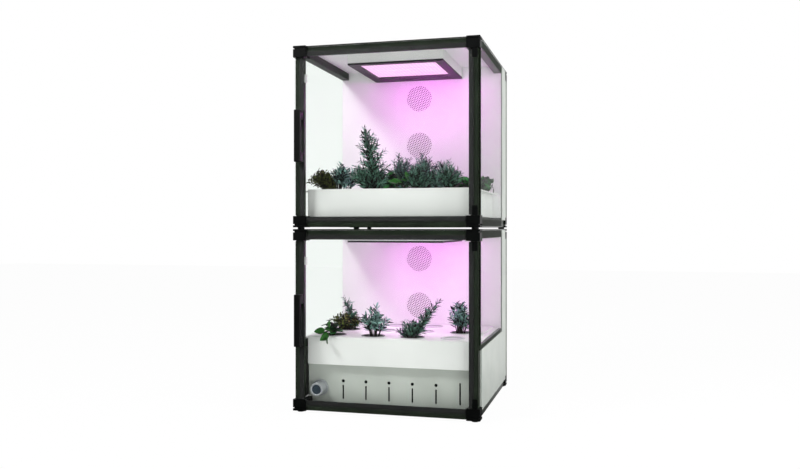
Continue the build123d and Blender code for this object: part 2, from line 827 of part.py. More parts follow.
# Drain valve: flange, stem and body clamp the panel, the knob turns on the stem
valve_plane = Plane(origin=(valve_x, panel_y, base + valve_z), x_dir=(1, 0, 0), z_dir=(0, -1, 0))
with BuildPart() as valve_body:
    with BuildSketch(valve_plane):
        Circle(valve_flange / 2)
    extrude(amount=valve_flange_thickness)
    with BuildSketch(valve_plane.offset(-panel_thickness)):
        Circle(valve_stem / 2)
    extrude(amount=panel_thickness + valve_flange_thickness + stem_reach)
    with BuildSketch(valve_plane.offset(-panel_thickness)):
        RectangleRounded(valve_body_size, valve_body_size, tank_edge)
    extrude(amount=-valve_body_depth)
save(valve_body, "valve_body")

with BuildPart() as valve_knob:
    knob_plane = valve_plane.offset(valve_flange_thickness + knob_gap)
    with BuildSketch(knob_plane):
        Circle(knob_diameter / 2)
    extrude(amount=knob_length)
    with BuildSketch(knob_plane.offset(knob_length)):
        Circle(knob_face / 2)
    extrude(amount=-knob_recess, mode=Mode.SUBTRACT)
    with BuildSketch(knob_plane):
        Circle(valve_stem / 2 + knob_fit)
    extrude(amount=stem_reach, mode=Mode.SUBTRACT)
save(valve_knob, "valve_knob")

# Circulation pump stands between the valve and the tank
pump_y = (panel_back_y + valve_body_depth + tank_front_y) / 2
with BuildPart() as circulation_pump:
    with BuildSketch(Plane.XY.offset(compartment_low)):
        with Locations((valve_x, pump_y)):
            Circle(pump_diameter / 2)
    extrude(amount=pump_height)
    with BuildSketch(Plane.XY.offset(compartment_low + pump_height)):
        with Locations((valve_x, pump_y)):
            Circle(pipe_diameter / 2)
    extrude(amount=pipe_diameter)
save(circulation_pump, "circulation_pump")

# Supply pipe: from the tank, up the rear chamber and into the back of the upper tray
with BuildPart() as supply_pipe:
    with BuildLine() as pipe_route:
        FilletPolyline(
            (pipe_x, tank_rear_y, base + pipe_level["lower"]),
            (pipe_x, pipe_y, base + pipe_level["lower"]),
            (pipe_x, pipe_y, levels["upper"] + pipe_level["upper"]),
            (pipe_x, tray_y + tray_depth, levels["upper"] + pipe_level["upper"]),
            radius=pipe_bend,
        )
    with BuildSketch(Plane(origin=pipe_route.line @ 0, z_dir=pipe_route.line % 0)):
        Circle(pipe_diameter / 2)
        Circle(pipe_bore / 2, mode=Mode.SUBTRACT)
    sweep()
save(supply_pipe, "supply_pipe")

# Electronics on the rear of the lower back wall, and the mains inlet in the rear cover
with BuildPart() as controller_box:
    slab((controller_x - controller_width / 2, controller_x + controller_width / 2),
         (fan_y, fan_y + controller_depth),
         (base + controller_z, base + controller_z + controller_height))
    fillet(controller_box.edges().filter_by(Axis.Y), radius=tank_edge)
save(controller_box, "controller_box")

with BuildPart() as power_supply:
    slab((supply_x - supply_width / 2, supply_x + supply_width / 2),
         (fan_y, fan_y + supply_depth),
         (base + controller_z, base + controller_z + supply_height))
    chamfer(power_supply.edges().filter_by(Axis.Z), length=tray_wall)
save(power_supply, "power_supply")

with BuildPart() as inlet_socket:
    inlet_plane = Plane(origin=(inlet_x, rear_y, base + inlet_z), x_dir=(1, 0, 0), z_dir=(0, -1, 0))
    with BuildSketch(inlet_plane):
        Rectangle(inlet_width, inlet_height)
    extrude(amount=inlet_depth)
    with BuildSketch(inlet_plane):
        Rectangle(inlet_width - 2 * inlet_wall, inlet_height - 2 * inlet_wall)
    extrude(amount=inlet_recess, mode=Mode.SUBTRACT)
save(inlet_socket, "inlet_socket")
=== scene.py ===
import json
import math
import random

import bmesh
import bpy
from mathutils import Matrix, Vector


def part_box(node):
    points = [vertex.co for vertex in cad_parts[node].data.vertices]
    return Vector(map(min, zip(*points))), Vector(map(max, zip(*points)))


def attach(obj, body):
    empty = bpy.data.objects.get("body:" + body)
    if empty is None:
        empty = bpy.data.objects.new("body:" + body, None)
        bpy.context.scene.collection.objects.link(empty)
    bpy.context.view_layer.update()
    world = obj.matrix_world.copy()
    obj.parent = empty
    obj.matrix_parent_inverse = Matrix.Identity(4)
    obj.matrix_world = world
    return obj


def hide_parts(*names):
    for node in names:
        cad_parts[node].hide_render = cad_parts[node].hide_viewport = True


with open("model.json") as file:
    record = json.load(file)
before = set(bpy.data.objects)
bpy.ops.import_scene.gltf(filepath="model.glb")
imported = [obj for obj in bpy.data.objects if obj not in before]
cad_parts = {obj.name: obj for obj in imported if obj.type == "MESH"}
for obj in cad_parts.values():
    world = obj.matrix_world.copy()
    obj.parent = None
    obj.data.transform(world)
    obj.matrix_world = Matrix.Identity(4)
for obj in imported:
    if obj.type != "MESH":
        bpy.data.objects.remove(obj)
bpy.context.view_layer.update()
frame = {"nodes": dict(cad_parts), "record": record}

# The camera stands to the right of the cabinet at half its height and looks level, turned a little left,
# so the uprights stay parallel and the right side shows as a narrow strip.
CAMERA_PLACE = (0.697, -2.747, 0.585)
CAMERA_YAW = math.radians(14.74)
FOCAL_PIXELS = 825.0
FRAME_WIDTH = 800.0
HORIZON_ABOVE_MIDDLE = 6.2
SENSOR_MM = 36.0
VIEW_REACH = 50.0


def linked(name, data):
    """New object of the scene that holds the given data."""
    made = bpy.data.objects.new(name, data)
    bpy.context.collection.objects.link(made)
    return made


camera = linked("camera", bpy.data.cameras.new("camera"))
camera.location = CAMERA_PLACE
camera.rotation_euler = (math.pi / 2, 0.0, CAMERA_YAW)
camera.data.sensor_width = SENSOR_MM
camera.data.lens = FOCAL_PIXELS / FRAME_WIDTH * SENSOR_MM
camera.data.shift_y = -HORIZON_ABOVE_MIDDLE / FRAME_WIDTH
camera.data.clip_end = VIEW_REACH
bpy.context.scene.camera = camera
bpy.context.scene.view_settings.view_transform = "Standard"

# Studio: white to the camera, and a little over white through glass, because a pane takes some of it. Coats
# mirror a room that is dark towards the camera and white behind the cabinet. A polarising filter on the lens
# keeps the sharp reflections in the panes faint, and soft fill comes from all round.
FILL_LEVEL = 0.36
THROUGH_LEVEL = 1.06
MIRROR_FRONT = 0.06
MIRROR_REAR = 1.0
PANE_MIRROR_REAR = 0.30
ROOM_FRONT, ROOM_REAR = 0.0, 0.6


def add_node(tree, kind, links=None, **settings):
    """Add a node, set its fields and inputs by name, and link its inputs to sockets."""
    made = tree.nodes.new(kind)
    for key, value in settings.items():
        if hasattr(made, key):
            setattr(made, key, value)
        else:
            made.inputs[key.replace("_", " ")].default_value = value
    for key, socket in (links or {}).items():
        tree.links.new(socket, made.inputs[key])
    return made


def linear(hex_colour):
    """Linear RGBA of an sRGB hex colour."""
    parts = [int(hex_colour[i:i + 2], 16) / 255 for i in (1, 3, 5)]
    return tuple(c / 12.92 if c <= 0.04045 else ((c + 0.055) / 1.055) ** 2.4 for c in parts) + (1.0,)


def mirrored_room(tree, path, way, front, rear):
    """Share of mirrored rays, and how bright a room they meet from its front to its rear."""
    depth = add_node(tree, "ShaderNodeSeparateXYZ", links={0: way})
    behind = add_node(tree, "ShaderNodeMapRange", To_Min=MIRROR_REAR, To_Max=PANE_MIRROR_REAR,
                      links={"Value": path.outputs["Is Singular Ray"]})
    room = add_node(tree, "ShaderNodeMapRange", From_Min=front, From_Max=rear, To_Min=MIRROR_FRONT,
                    links={"Value": depth.outputs["Y"], "To Max": behind.outputs["Result"]})
    mirrored = add_node(tree, "ShaderNodeMath", operation="MINIMUM", links={0: path.outputs["Glossy Depth"]})
    mirrored.inputs[1].default_value = 1.0
    return mirrored.outputs[0], room.outputs["Result"]


STUDIO_WHITE = linear("#FFFFFF")
world = bpy.data.worlds.new("studio")
bpy.context.scene.world = world
world.use_nodes = True
tree = world.node_tree
tree.nodes.clear()
path = add_node(tree, "ShaderNodeLightPath")
light = add_node(tree, "ShaderNodeBackground", Color=STUDIO_WHITE, Strength=FILL_LEVEL)
for ray, strength in (("Is Transmission Ray", THROUGH_LEVEL), ("Is Camera Ray", 1.0)):
    shown = add_node(tree, "ShaderNodeBackground", Color=STUDIO_WHITE, Strength=strength)
    light = add_node(tree, "ShaderNodeMixShader",
                     links={0: path.outputs[ray], 1: light.outputs[0], 2: shown.outputs[0]})
way = add_node(tree, "ShaderNodeTexCoord").outputs["Generated"]
mirrored, room = mirrored_room(tree, path, way, ROOM_FRONT, ROOM_REAR)
shown = add_node(tree, "ShaderNodeBackground", Color=STUDIO_WHITE, links={"Strength": room})
light = add_node(tree, "ShaderNodeMixShader", links={0: mirrored, 1: light.outputs[0], 2: shown.outputs[0]})
add_node(tree, "ShaderNodeOutputWorld", links={"Surface": light.outputs[0]})


def soft_box(name, place, target, size, power, colour="#FFFFFF", spread=180.0):
    """Area lamp at a place, turned to face a target."""
    lamp = bpy.data.lights.new(name, "AREA")
    lamp.color = linear(colour)[:3]
    lamp.shape = "RECTANGLE"
    lamp.size, lamp.size_y = size
    lamp.energy = power
    lamp.spread = math.radians(spread)
    made = linked(name, lamp)
    made.location = place
    made.rotation_euler = (Vector(target) - Vector(place)).to_track_quat("-Z", "Y").to_euler()
    made.visible_camera = False
    made.visible_transmission = False


MIDDLE = (0.0, 0.0, 0.58)
soft_box("soft_box_left", (-1.75, -2.05, 3.0), (0.0, -0.1, 0.5), (0.9, 0.9), 75)
soft_box("soft_box_right", (2.4, -0.6, 1.6), MIDDLE, (1.2, 1.6), 39)
soft_box("soft_box_low", (1.9, -2.5, 0.35), (0.0, -0.1, 0.9), (1.4, 0.5), 13)
soft_box("soft_box_top", (0.0, -0.2, 2.9), MIDDLE, (1.6, 1.2), 14)

# Floor of the studio: matt white paper that keeps a faint shadow under the feet and runs into the white
# behind it, with no edge to see.
FLOOR_REACH = 9.0
FLOOR_WHITE_SHARE = 0.97
FLOOR_LEVEL = -0.0005
FLOOR_FRONT, FLOOR_REAR = -0.2, 1.0
CORNERS = ((-1, -1), (1, -1), (1, 1), (-1, 1))
floor_mesh = bpy.data.meshes.new("studio_floor")
floor_mesh.from_pydata([(x * FLOOR_REACH, y * FLOOR_REACH, FLOOR_LEVEL) for x, y in CORNERS],
                       [], [(0, 1, 2, 3)])
studio_floor = linked("studio_floor", floor_mesh)
paper = bpy.data.materials.new("studio_paper")
paper.use_nodes = True
tree = paper.node_tree
tree.nodes.clear()
path = add_node(tree, "ShaderNodeLightPath")
seen = add_node(tree, "ShaderNodeMath", operation="MAXIMUM",
                links={0: path.outputs["Is Camera Ray"], 1: path.outputs["Is Transmission Ray"]})
share = add_node(tree, "ShaderNodeMath", operation="MULTIPLY", links={0: seen.outputs[0]})
share.inputs[1].default_value = FLOOR_WHITE_SHARE
matt = add_node(tree, "ShaderNodeBsdfDiffuse", Color=linear("#F2F2F2"))
strength = add_node(tree, "ShaderNodeMapRange", To_Min=1.0, To_Max=THROUGH_LEVEL,
                    links={"Value": path.outputs["Is Transmission Ray"]})
glow = add_node(tree, "ShaderNodeEmission", Color=STUDIO_WHITE,
                links={"Strength": strength.outputs["Result"]})
bright = add_node(tree, "ShaderNodeMixShader",
                  links={0: share.outputs[0], 1: matt.outputs[0], 2: glow.outputs[0]})
way = add_node(tree, "ShaderNodeTexCoord").outputs["Object"]
mirrored, room = mirrored_room(tree, path, way, FLOOR_FRONT, FLOOR_REAR)
dim = add_node(tree, "ShaderNodeEmission", Color=STUDIO_WHITE, links={"Strength": room})
mixed = add_node(tree, "ShaderNodeMixShader", links={0: mirrored, 1: bright.outputs[0], 2: dim.outputs[0]})
add_node(tree, "ShaderNodeOutputMaterial", links={"Surface": mixed.outputs[0]})
floor_mesh.materials.append(paper)

# Frame: square aluminium tube with small corner radii, powder coated in a satin green-black, cut square and
# pushed into the corner blocks. Powder shows a fine orange-peel and slight changes of tone and gloss.
MM = 0.001
LEVELS = ("lower", "upper")
TUBE_EDGE = 1.6 * MM
WELD = 0.001 * MM
FLAT_ANGLE = math.radians(0.5)
SHARP_ANGLE = math.radians(35.0)
BEVEL_ANGLE = math.radians(30.0)
TONE_START, TONE_END = 0.35, 0.65
GLOSS_SWING = 0.05
PEEL_STRENGTH = 0.4
nodes = frame["nodes"]
record = frame["record"]
body_of = {node: body for body, names in record["behaviour"]["bodies"].items() for node in names}


def coated(name, dark, light, roughness, patch_mm=90.0, peel_mm=2.2, peel_depth_mm=0.05,
           metallic=0.0, ior=1.5):
    """Painted or moulded surface: faint patches of tone and gloss, and a fine orange-peel relief."""
    made = bpy.data.materials.new(name)
    made.use_nodes = True
    tree = made.node_tree
    tree.nodes.clear()
    place = add_node(tree, "ShaderNodeTexCoord").outputs["Object"]
    patch = add_node(tree, "ShaderNodeTexNoise", links={"Vector": place},
                     Scale=1.0 / (patch_mm * MM), Detail=3.0)
    peel = add_node(tree, "ShaderNodeTexNoise", links={"Vector": place},
                    Scale=1.0 / (peel_mm * MM), Detail=1.0)
    tone = add_node(tree, "ShaderNodeValToRGB", links={"Fac": patch.outputs["Fac"]})
    first, last = tone.color_ramp.elements
    first.position, first.color = TONE_START, linear(dark)
    last.position, last.color = TONE_END, linear(light)
    gloss = add_node(tree, "ShaderNodeMapRange", links={"Value": patch.outputs["Fac"]},
                     To_Min=roughness - GLOSS_SWING, To_Max=roughness + GLOSS_SWING)
    relief = add_node(tree, "ShaderNodeBump", links={"Height": peel.outputs["Fac"]},
                      Strength=PEEL_STRENGTH, Distance=peel_depth_mm * MM)
    shader = add_node(tree, "ShaderNodeBsdfPrincipled", Metallic=metallic, IOR=ior, links={
        "Base Color": tone.outputs["Color"], "Roughness": gloss.outputs["Result"],
        "Normal": relief.outputs["Normal"]})
    add_node(tree, "ShaderNodeOutputMaterial", links={"Surface": shader.outputs[0]})
    return made


def dress(material, *names):
    """Give CAD nodes a finished material."""
    for name in names:
        nodes[name].data.materials.clear()
        nodes[name].data.materials.append(material)


def place_for(piece, name):
    """Let a piece stand for a CAD node: it rides on the node's body, and the node is hidden."""
    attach(piece, body_of[name])
    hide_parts(name)
    return piece


def merged_copy(name):
    """Copy of a CAD node's mesh with its loose triangles welded and its flat faces made whole."""
    shape = bmesh.new()
    shape.from_mesh(nodes[name].data)
    bmesh.ops.remove_doubles(shape, verts=shape.verts, dist=WELD)
    bmesh.ops.dissolve_limit(shape, angle_limit=FLAT_ANGLE, verts=shape.verts, edges=shape.edges)
    return shape


def eased(name, material, edge):
    """Piece in place of a CAD node: the node's own shape with its edges eased to a small radius."""
    shape = merged_copy(name)
    mesh = bpy.data.meshes.new(f"{name}_eased")
    shape.to_mesh(mesh)
    shape.free()
    mesh.shade_smooth()
    mesh.set_sharp_from_angle(angle=SHARP_ANGLE)
    mesh.materials.clear()
    mesh.materials.append(material)
    piece = linked(f"{name}_eased", mesh)
    bevel = piece.modifiers.new("eased_edges", "BEVEL")
    bevel.width = edge
    bevel.segments = 2
    bevel.limit_method = "ANGLE"
    bevel.angle_limit = BEVEL_ANGLE
    bevel.harden_normals = True
    return place_for(piece, name)


powder_coat = coated("powder_coated_aluminium", "#151E13", "#1F2A1C", 0.30)
for level in LEVELS:
    for tubes in ("posts", "width_rails", "depth_rails"):
        eased(f"{level}_{tubes}", powder_coat, TUBE_EDGE)

# Corner blocks: moulded black nylon with three sockets each and a fine groove round the end. Feet: black
# rubber discs pushed into the lower blocks. Moulding leaves a close matt grain, duller on the rubber.
BLOCK_EDGE = 1.2 * MM
black_nylon = coated("moulded_black_nylon", "#020403", "#050807", 0.5, patch_mm=40, peel_mm=1.2, ior=1.25)
for level in LEVELS:
    eased(f"{level}_corner_blocks", black_nylon, BLOCK_EDGE)
black_rubber = coated("moulded_black_rubber", "#060707", "#0B0C0C", 0.7, patch_mm=30, peel_mm=1.0)
dress(black_rubber, "feet")

# Side glass: clear toughened float glass in the outer rebate of the posts, with faintly green polished edges.
# Clean panes hardly dim the studio light, so they throw no shadow. The side panes have a low-reflection coat,
# which keeps the plants plain to see at a glancing angle.
FLOAT_GLASS_IOR = 1.5
LOW_REFLECTION_IOR = 1.05
SAME_WAY = 0.99


def new_finish(name):
    """New material with its node tree and its shader."""
    made = bpy.data.materials.new(name)
    made.use_nodes = True
    return made, made.node_tree, made.node_tree.nodes["Principled BSDF"]


glass, tree, shader = new_finish("toughened_float_glass")
place = add_node(tree, "ShaderNodeTexCoord").outputs["Object"]
draw = add_node(tree, "ShaderNodeTexNoise", links={"Vector": place}, Scale=1.0 / (180 * MM), Detail=1.0)
waver = add_node(tree, "ShaderNodeBump", links={"Height": draw.outputs["Fac"]},
                 Strength=0.05, Distance=0.2 * MM)
tree.links.new(waver.outputs["Normal"], shader.inputs["Normal"])
shader.inputs["Base Color"].default_value = linear("#FBFEFC")
shader.inputs["Roughness"].default_value = 0.0
shader.inputs["IOR"].default_value = FLOAT_GLASS_IOR
shader.inputs["Transmission Weight"].default_value = 1.0
side_pane = glass.copy()
side_pane.name = "low_reflection_glass"
side_pane.node_tree.nodes["Principled BSDF"].inputs["IOR"].default_value = LOW_REFLECTION_IOR
edge_glass, tree, shader = new_finish("polished_glass_edge")
shader.inputs["Base Color"].default_value = linear("#D3E2D8")
shader.inputs["Roughness"].default_value = 0.08
shader.inputs["IOR"].default_value = FLOAT_GLASS_IOR
shader.inputs["Transmission Weight"].default_value = 1.0


def glazed(name, clear):
    """Piece in place of a pane: clear on its two broad faces, faintly green round its edges."""
    shape = merged_copy(name)
    broad = max((face.normal.copy() for face in shape.faces), key=lambda n: sum(
        face.calc_area() for face in shape.faces if abs(face.normal.dot(n)) > SAME_WAY))
    for face in shape.faces:
        face.material_index = 0 if abs(face.normal.dot(broad)) > SAME_WAY else 1
    mesh = bpy.data.meshes.new(f"{name}_pane")
    shape.to_mesh(mesh)
    shape.free()
    mesh.materials.clear()
    mesh.materials.append(clear)
    mesh.materials.append(edge_glass)
    piece = linked(f"{name}_pane", mesh)
    piece.visible_shadow = False
    piece.visible_diffuse = False
    return place_for(piece, name)


for level in LEVELS:
    glazed(f"{level}_side_glass", side_pane)

# Opaque skins: pale grey-green coated sheet beside the base, behind the posts and at the rear. A darker grey
# rim at the rear edge of the side panels is painted shade, and the dark inside of the rear covers is painted
# shade.
# The lids are coated dark as the frame and white underneath; the floors are coated dark as painted shade in
# the gap under the trays. The coats are satin, with soft broad highlights.
PAINTED_SHADE_RIM_START = 0.297
SIDE_EDGE = 0.6 * MM
COVER_EDGE = 0.5 * MM
INWARD = -0.5


def two_toned(piece, material, chosen):
    """Give a second finish to those faces of a piece that a test picks."""
    piece.data.materials.append(material)
    for face in piece.data.polygons:
        face.material_index = 1 if chosen(face) else 0


side_sheet = coated("coated_side_sheet", "#B2B9B2", "#BEC4BD", 0.4)
# The rim's darker grey is painted shade at the rear edge of each side panel.
painted_shade_rim = coated("coated_rear_rim", "#5E655D", "#6A7169", 0.8, ior=1.05)
for level in LEVELS:
    panels = eased(f"{level}_side_panels", side_sheet, SIDE_EDGE)
    shape = bmesh.new()
    shape.from_mesh(panels.data)
    bmesh.ops.bisect_plane(shape, geom=shape.verts[:] + shape.edges[:] + shape.faces[:], dist=WELD,
                           plane_co=(0.0, PAINTED_SHADE_RIM_START, 0.0), plane_no=(0.0, 1.0, 0.0))
    shape.to_mesh(panels.data)
    shape.free()
    # Faces at the rear edge of each side panel take the darker grey of painted shade.
    two_toned(panels, painted_shade_rim, lambda face: face.center.y > PAINTED_SHADE_RIM_START)
white_sheet = coated("coated_white_sheet", "#F0F0F0", "#F6F6F6", 0.38)
# This dark coat is the lids' own paint, and painted shade on the floors and inside the rear covers.
dark_sheet_and_painted_shade = coated("coated_dark_sheet", "#151A13", "#1D241A", 0.34)
# The floors' dark coat is painted shade in the gap under the trays.
dress(dark_sheet_and_painted_shade, "floors")
two_toned(eased("top_panels", dark_sheet_and_painted_shade, COVER_EDGE), white_sheet, lambda face: face.normal.z < INWARD)
# The rear covers' dark inside is painted shade behind the fans.
two_toned(eased("rear_covers", side_sheet, COVER_EDGE), dark_sheet_and_painted_shade, lambda face: face.normal.y < INWARD)

# Back walls: satin white coated steel sheet between the middle posts, with two round fields of punched holes
# for the fans and a hole for the supply pipe. A dark gauze inside each field gives the holes painted shade.
# The holes are drawn coarser than 5 mm apart, to show.
WALL_THICKNESS = 3 * MM
WIDE_START = 0.28
VENT_RADIUS = 46 * MM
VENT_SIDES = 72
VENT_HEIGHTS = {"lower": (0.3045, 0.4745), "upper": (0.887, 1.057)}
PUNCH_PITCH = 7.2 * MM
PUNCH_RADIUS = 2.2 * MM
PUNCH_SIDES = 12
PUNCH_DEPTH = 0.4 * WALL_THICKNESS
PUNCH_INSET = 0.15 * MM
PUNCH_OVERLAP = 0.4 * PUNCH_PITCH
ROW_RISE = PUNCH_PITCH * math.sqrt(3) / 2
PUNCH_TURN = math.radians(17.0)
PIPE_HOLE = {"lower": (-0.205, 0.0655), "upper": (-0.205, 0.692)}
PIPE_HOLE_RADIUS = 9 * MM
PIPE_HOLE_SIDES = 24
GAUZE_DEPTH = 1.9 * MM
GAUZE_THICKNESS = 0.4 * MM


def open_tree(name, sockets):
    """New Geometry Nodes tree with named inputs, and the node that gives them."""
    tree = bpy.data.node_groups.new(name, "GeometryNodeTree")
    for socket, kind in sockets:
        tree.interface.new_socket(socket, in_out="INPUT", socket_type=f"NodeSocket{kind}")
    tree.interface.new_socket("Geometry", in_out="OUTPUT", socket_type="NodeSocketGeometry")
    return tree, add_node(tree, "NodeGroupInput")


def close_tree(tree, given, geometry):
    """End of a tree: plain geometry in the given finish."""
    merged = add_node(tree, "GeometryNodeRealizeInstances", links={"Geometry": geometry})
    finish = add_node(tree, "GeometryNodeSetMaterial", links={
        "Geometry": merged.outputs["Geometry"], "Material": given.outputs["Finish"]})
    add_node(tree, "NodeGroupOutput", links={"Geometry": finish.outputs["Geometry"]})
    return tree


def repeat_tree():
    """Geometry Nodes tree that sets one small part on every point of a mesh."""
    tree, given = open_tree("repeat_on_points", (
        ("Points", "Geometry"), ("Part", "Object"), ("Finish", "Material")))
    part = add_node(tree, "GeometryNodeObjectInfo", links={"Object": given.outputs["Part"]})
    placed = add_node(tree, "GeometryNodeInstanceOnPoints", links={
        "Points": given.outputs["Points"], "Instance": part.outputs["Geometry"]})
    return close_tree(tree, given, placed.outputs["Instances"])


def plain_mesh(piece):
    """Mesh of an object as its modifiers or its curve make it."""
    bpy.context.view_layer.update()
    return bpy.data.meshes.new_from_object(piece.evaluated_get(bpy.context.evaluated_depsgraph_get()))


def grown(name, base_mesh, tree, **inputs):
    """Plain mesh object that a Geometry Nodes tree makes from a base mesh and its named inputs."""
    piece = linked(name, base_mesh)
    modifier = piece.modifiers.new(name, "NODES")
    modifier.node_group = tree
    for item in tree.interface.items_tree:
        key = item.name.replace(" ", "_")
        if item.in_out == "INPUT" and key in inputs:
            modifier[item.identifier] = inputs[key]
    result = plain_mesh(piece)
    piece.modifiers.clear()
    piece.data = result
    return piece


def loose_part(name, verts, faces):
    """Object that holds one small part for a tree to repeat."""
    mesh = bpy.data.meshes.new(name)
    mesh.from_pydata(verts, [], faces)
    shape = bmesh.new()
    shape.from_mesh(mesh)
    bmesh.ops.recalc_face_normals(shape, faces=shape.faces)
    shape.to_mesh(mesh)
    shape.free()
    return linked(name, mesh)


def discard(*parts):
    """Take away objects that only served to make others."""
    for part in parts:
        bpy.data.objects.remove(part)


def punched_cell():
    """One hexagonal cell of the punched field with its round hole, facing the front."""
    corner = PUNCH_PITCH / math.sqrt(3)
    verts, faces = [], []
    count = PUNCH_SIDES
    for y in (0.0, PUNCH_DEPTH):
        for k in range(count):
            turn = 2 * math.pi * k / count
            reach = corner * math.cos(math.pi / 6) / math.cos(turn % (math.pi / 3) - math.pi / 6)
            verts.append((reach * math.sin(turn + PUNCH_TURN), y, reach * math.cos(turn + PUNCH_TURN)))
        for k in range(count):
            turn = 2 * math.pi * k / count + PUNCH_TURN
            verts.append((PUNCH_RADIUS * math.sin(turn), y, PUNCH_RADIUS * math.cos(turn)))
    for k in range(count):
        after = (k + 1) % count
        faces.append((k, after, count + after, count + k))
        faces.append((2 * count + after, 2 * count + k, 3 * count + k, 3 * count + after))
        faces.append((count + k, count + after, 3 * count + after, 3 * count + k))
    return loose_part("punched_cell", verts, faces)


def circle_points(x, z, radius, count):
    """Points of a circle, turned so that no two of them are level, which keeps the fill of a sheet exact."""
    turns = [2 * math.pi * (k + 0.23) / count for k in range(count)]
    return [(x + radius * math.cos(turn), z + radius * math.sin(turn)) for turn in turns]


def sheet_with_holes(name, outline, holes, y, thickness):
    """Flat upright sheet cut to an outline with holes, its front face at y."""
    curve = bpy.data.curves.new(name, "CURVE")
    curve.dimensions = "2D"
    curve.fill_mode = "BOTH"
    curve.extrude = thickness / 2
    for points in [outline] + holes:
        spline = curve.splines.new("POLY")
        spline.points.add(len(points) - 1)
        for point, (x, z) in zip(spline.points, points):
            point.co = (x, z, 0.0, 1.0)
        spline.use_cyclic_u = True
    flat = linked(name, curve)
    mesh = plain_mesh(flat)
    discard(flat)
    for vertex in mesh.vertices:
        x, z, depth = vertex.co
        vertex.co = (x, y + thickness / 2 - depth, z)
    shape = bmesh.new()
    shape.from_mesh(mesh)
    bmesh.ops.remove_doubles(shape, verts=shape.verts, dist=WELD)
    bmesh.ops.recalc_face_normals(shape, faces=shape.faces)
    shape.to_mesh(mesh)
    shape.free()
    return linked(name, mesh)


repeat_on_points = repeat_tree()
wall_sheet = coated("coated_wall_sheet", "#EFEFEF", "#F5F5F5", 0.4, patch_mm=160)
# The gauze's dark grey is painted shade seen through the punched holes.
painted_shade_gauze = coated("woven_gauze_grey", "#30282C", "#3C3338", 0.8, patch_mm=1.5, peel_mm=0.6)
cell = punched_cell()
for level in LEVELS:
    name = f"{level}_back_wall"
    low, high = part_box(name)
    wide = [v.co.z for v in nodes[name].data.vertices if abs(v.co.x) > WIDE_START]
    wide_low, wide_high = min(wide), max(wide)
    shoulder = max(v.co.x for v in nodes[name].data.vertices if v.co.z > wide_high + MM)
    half = high[0]
    outline = [(-shoulder, low[2]), (shoulder, low[2]), (shoulder, wide_low), (half, wide_low),
               (half, wide_high), (shoulder, wide_high), (shoulder, high[2]), (-shoulder, high[2]),
               (-shoulder, wide_high), (-half, wide_high), (-half, wide_low), (-shoulder, wide_low)]
    if wide_low - low[2] < MM:
        outline = [(-half, low[2]), (half, low[2])] + outline[4:10]
    vents = [circle_points(0.0, z, VENT_RADIUS, VENT_SIDES) for z in VENT_HEIGHTS[level]]
    holes = vents + [circle_points(*PIPE_HOLE[level], PIPE_HOLE_RADIUS, PIPE_HOLE_SIDES)]
    wall = sheet_with_holes(f"{level}_wall_sheet", outline, holes, low[1], WALL_THICKNESS)
    wall.data.materials.append(wall_sheet)
    place_for(wall, name)
    for number, vent in enumerate(vents):
        gauze = sheet_with_holes(f"{level}_gauze_{number}", vent, [], low[1] + GAUZE_DEPTH, GAUZE_THICKNESS)
        gauze.data.materials.append(painted_shade_gauze)
        place_for(gauze, name)
    lattice = []
    rows = int(VENT_RADIUS / PUNCH_PITCH) + 2
    for z in VENT_HEIGHTS[level]:
        for row in range(-rows, rows + 1):
            for column in range(-rows, rows + 1):
                x = (column + 0.5 * (row % 2)) * PUNCH_PITCH
                rise = row * ROW_RISE
                if math.hypot(x, rise) < VENT_RADIUS + PUNCH_OVERLAP:
                    lattice.append((x * math.cos(PUNCH_TURN) + rise * math.sin(PUNCH_TURN),
                                    low[1] + PUNCH_INSET,
                                    z + rise * math.cos(PUNCH_TURN) - x * math.sin(PUNCH_TURN)))
    points = bpy.data.meshes.new(f"{level}_punch_points")
    points.from_pydata(lattice, [], [])
    field = grown(f"{level}_punched_vents", points, repeat_on_points, Part=cell, Finish=wall_sheet)
    place_for(field, name)
discard(cell)

# Lamps: satin white folded housing screwed up under the top panel, dull dark bezel, and an opal plate with
# rows of pale diodes, near white to the eye. Its pink light falls on the deck and, stronger, on the back wall
# to the right, and an area light just under the plate gives each share.
LAMP_EDGE = 1.0 * MM
BEZEL_EDGE = 0.8 * MM
DIODE_PITCH = 13 * MM
DIODE_SIZE = 5 * MM
DIODE_TIP = 3 * MM
DIODE_HEIGHT = 0.8 * MM
PLATE_GLOW = "#E6B0DE"
DIODE_GLOW = "#F6D4F0"
PINK_LIGHT = "#FF46FF"
DECK_LIGHT = "#FFE2FF"
DECK_WATTS = {"lower": 0.36, "upper": 0.40}
WALL_WATTS = {"lower": 0.42, "upper": 0.56}
DECK_LIGHT_DROP = 6 * MM
DECK_LIGHT_SPREAD = 100.0
WALL_LIGHT_DROP = 14 * MM
WALL_LIGHT_FORWARD = 150 * MM
WALL_LIGHT_X = 0.04
WALL_LIGHT_SIZE = (0.26, 0.02)
WALL_AIM_X, WALL_AIM_Y, WALL_AIM_DROP = 0.06, 0.182, 0.18
lamp_white = coated("coated_lamp_sheet", "#F0F1EF", "#F6F7F5", 0.34)
bezel_grey = coated("painted_lamp_bezel", "#252527", "#2E2E30", 0.45)


def glowing(name, colour):
    """Opal plastic that is lit from behind."""
    made, tree, shader = new_finish(name)
    place = add_node(tree, "ShaderNodeTexCoord").outputs["Object"]
    cloud = add_node(tree, "ShaderNodeTexNoise", links={"Vector": place},
                     Scale=1.0 / (60 * MM), Detail=2.0)
    tone = add_node(tree, "ShaderNodeValToRGB", links={"Fac": cloud.outputs["Fac"]})
    tone.color_ramp.elements[0].color = linear("#A08C9C")
    tone.color_ramp.elements[1].color = linear("#B29EAE")
    tree.links.new(tone.outputs["Color"], shader.inputs["Base Color"])
    shader.inputs["Roughness"].default_value = 0.45
    shader.inputs["Emission Color"].default_value = linear(colour)
    shader.inputs["Emission Strength"].default_value = 1.0
    return made


